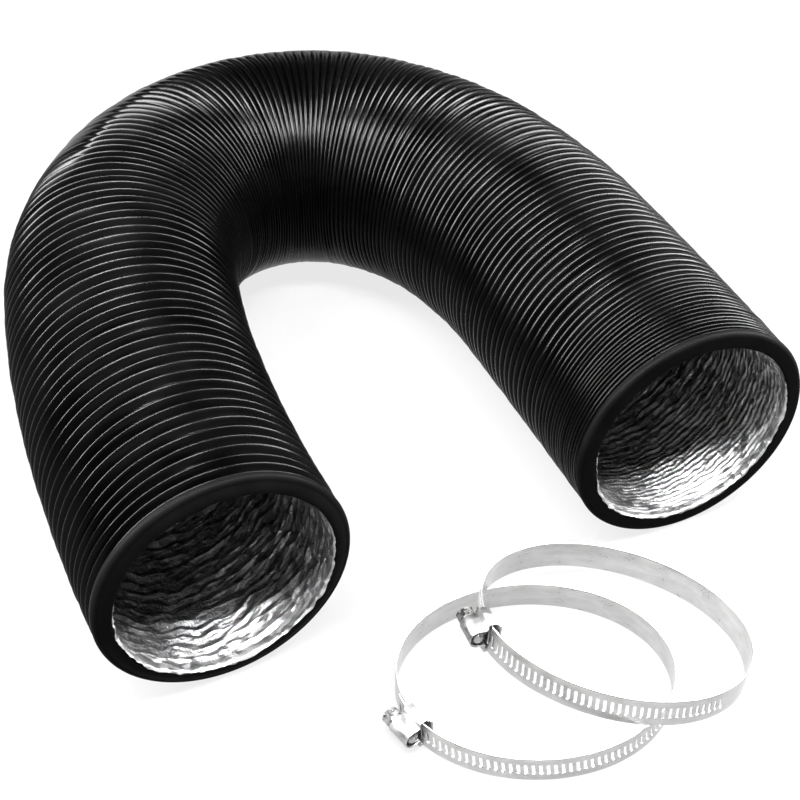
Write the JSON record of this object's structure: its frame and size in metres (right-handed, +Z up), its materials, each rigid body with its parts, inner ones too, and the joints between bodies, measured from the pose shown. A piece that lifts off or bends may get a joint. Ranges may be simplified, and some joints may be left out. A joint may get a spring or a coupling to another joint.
{
  "type": "flexible air duct",
  "caption": "Flexible air duct: wire-reinforced black film bellows with crumpled foil lining, bent in a U on the floor, with its worm-drive band clamps.",
  "frame": {"origin": "on the floor, under the middle of the object's overall box", "axes": "+Z up from the floor; the U of the duct opens towards -Y, with its two mouths and the clamps there; +X towards the right mouth"},
  "size_m": [0.395, 0.4425, 0.12],
  "materials": {
    "film": "black PVC film, glossy on the ridges",
    "foil": "crumpled bright aluminium foil laminate",
    "spring_wire": "drawn spring steel wire, hidden between film and foil",
    "cuff": "smooth satin black film, folded over the end",
    "clamp_band": "rolled stainless steel strip, softly brushed along its length",
    "clamp_housing": "pressed stainless steel sheet, satin",
    "clamp_screw": "bright plated steel"
  },
  "bodies": {
    "right_end": {"end_cuff_right": "cuff", "outer_film_right_end": "film", "foil_liner_right_end": "foil", "spring_wire_right_end": "spring_wire", "outer_film_right_stretch": "film", "foil_liner_right_stretch": "foil", "spring_wire_right_stretch": "spring_wire"},
    "right_leg": {"outer_film_right_leg": "film", "foil_liner_right_leg": "foil", "spring_wire_right_leg": "spring_wire", "outer_film_right_flex": "film", "foil_liner_right_flex": "foil", "spring_wire_right_flex": "spring_wire"},
    "bend": {"outer_film_bend_1": "film", "foil_liner_bend_1": "foil", "spring_wire_bend_1": "spring_wire", "outer_film_bend_2": "film", "foil_liner_bend_2": "foil", "spring_wire_bend_2": "spring_wire", "outer_film_bend_3": "film", "foil_liner_bend_3": "foil", "spring_wire_bend_3": "spring_wire", "outer_film_bend_4": "film", "foil_liner_bend_4": "foil", "spring_wire_bend_4": "spring_wire", "outer_film_bend_5": "film", "foil_liner_bend_5": "foil", "spring_wire_bend_5": "spring_wire"},
    "left_leg": {"outer_film_left_leg": "film", "foil_liner_left_leg": "foil", "spring_wire_left_leg": "spring_wire", "outer_film_left_flex": "film", "foil_liner_left_flex": "foil", "spring_wire_left_flex": "spring_wire"},
    "left_end": {"end_cuff_left": "cuff", "outer_film_left_end": "film", "foil_liner_left_end": "foil", "spring_wire_left_end": "spring_wire", "outer_film_left_stretch": "film", "foil_liner_left_stretch": "foil", "spring_wire_left_stretch": "spring_wire"},
    "clamp_1": {"clamp_1_band": "clamp_band", "clamp_1_housing": "clamp_housing", "clamp_1_saddle": "clamp_housing"},
    "clamp_1_slotted_half": {"clamp_1_slotted_band": "clamp_band"},
    "clamp_1_worm": {"clamp_1_screw": "clamp_screw"},
    "clamp_2": {"clamp_2_band": "clamp_band", "clamp_2_housing": "clamp_housing", "clamp_2_saddle": "clamp_housing"},
    "clamp_2_slotted_half": {"clamp_2_slotted_band": "clamp_band"},
    "clamp_2_worm": {"clamp_2_screw": "clamp_screw"}
  },
  "joints": [
    {"name": "right_stretch", "type": "slide", "parent": "right_end", "child": "right_leg", "axis": [-0.4182, 0.9083, 0], "range_m": [-0.02, 0.09], "deforming": ["outer_film_right_stretch", "foil_liner_right_stretch", "spring_wire_right_stretch"]},
    {"name": "right_swing", "type": "hinge", "parent": "right_leg", "child": "bend", "pos_m": [0.05112, 0.11, 0.06], "axis": [0, 0, -1], "range_deg": [-3, 30], "deforming": ["outer_film_right_flex", "foil_liner_right_flex", "spring_wire_right_flex"]},
    {"name": "left_swing", "type": "hinge", "parent": "bend", "child": "left_leg", "pos_m": [-0.13539, 0.02572, 0.06], "axis": [0, 0, -1], "range_deg": [-3, 30], "deforming": ["outer_film_left_flex", "foil_liner_left_flex", "spring_wire_left_flex"]},
    {"name": "left_stretch", "type": "slide", "parent": "left_leg", "child": "left_end", "axis": [0.358, -0.9337, 0], "range_m": [-0.02, 0.045], "deforming": ["outer_film_left_stretch", "foil_liner_left_stretch", "spring_wire_left_stretch"]},
    {"name": "clamp_1_lift", "type": "slide", "parent": "right_end", "child": "clamp_1", "axis": [0, 0, 1], "range_m": [0, 0.06]},
    {"name": "clamp_2_lift", "type": "slide", "parent": "clamp_1", "child": "clamp_2", "axis": [0, 0, 1], "range_m": [0, 0.06]},
    {"name": "clamp_1_screw_turn", "type": "hinge", "parent": "clamp_1", "child": "clamp_1_worm", "pos_m": [0.00852, -0.20123, 0.00907], "axis": [0.6147, -0.7887, 0.0026], "range_deg": [-219, 989]},
    {"name": "clamp_1_tighten", "type": "hinge", "parent": "clamp_1", "child": "clamp_1_slotted_half", "pos_m": [0.10073, -0.12937, 0.00719], "axis": [-0.0111, -0.0119, -0.9999], "range_deg": [-1, 4.5]},
    {"name": "clamp_2_screw_turn", "type": "hinge", "parent": "clamp_2", "child": "clamp_2_worm", "pos_m": [0.03885, -0.1624, 0.02951], "axis": [0.3462, -0.9357, 0.0684], "range_deg": [-219, 989]},
    {"name": "clamp_2_tighten", "type": "hinge", "parent": "clamp_2", "child": "clamp_2_slotted_half", "pos_m": [0.14707, -0.12396, 0.00762], "axis": [-0.1527, -0.1282, -0.9799], "range_deg": [-1, 4.5]}
  ],
  "couplings": [
    {"joint": "clamp_1_tighten", "follows": "clamp_1_screw_turn", "ratio": 0.0045465},
    {"joint": "clamp_2_tighten", "follows": "clamp_2_screw_turn", "ratio": 0.0045465}
  ]
}
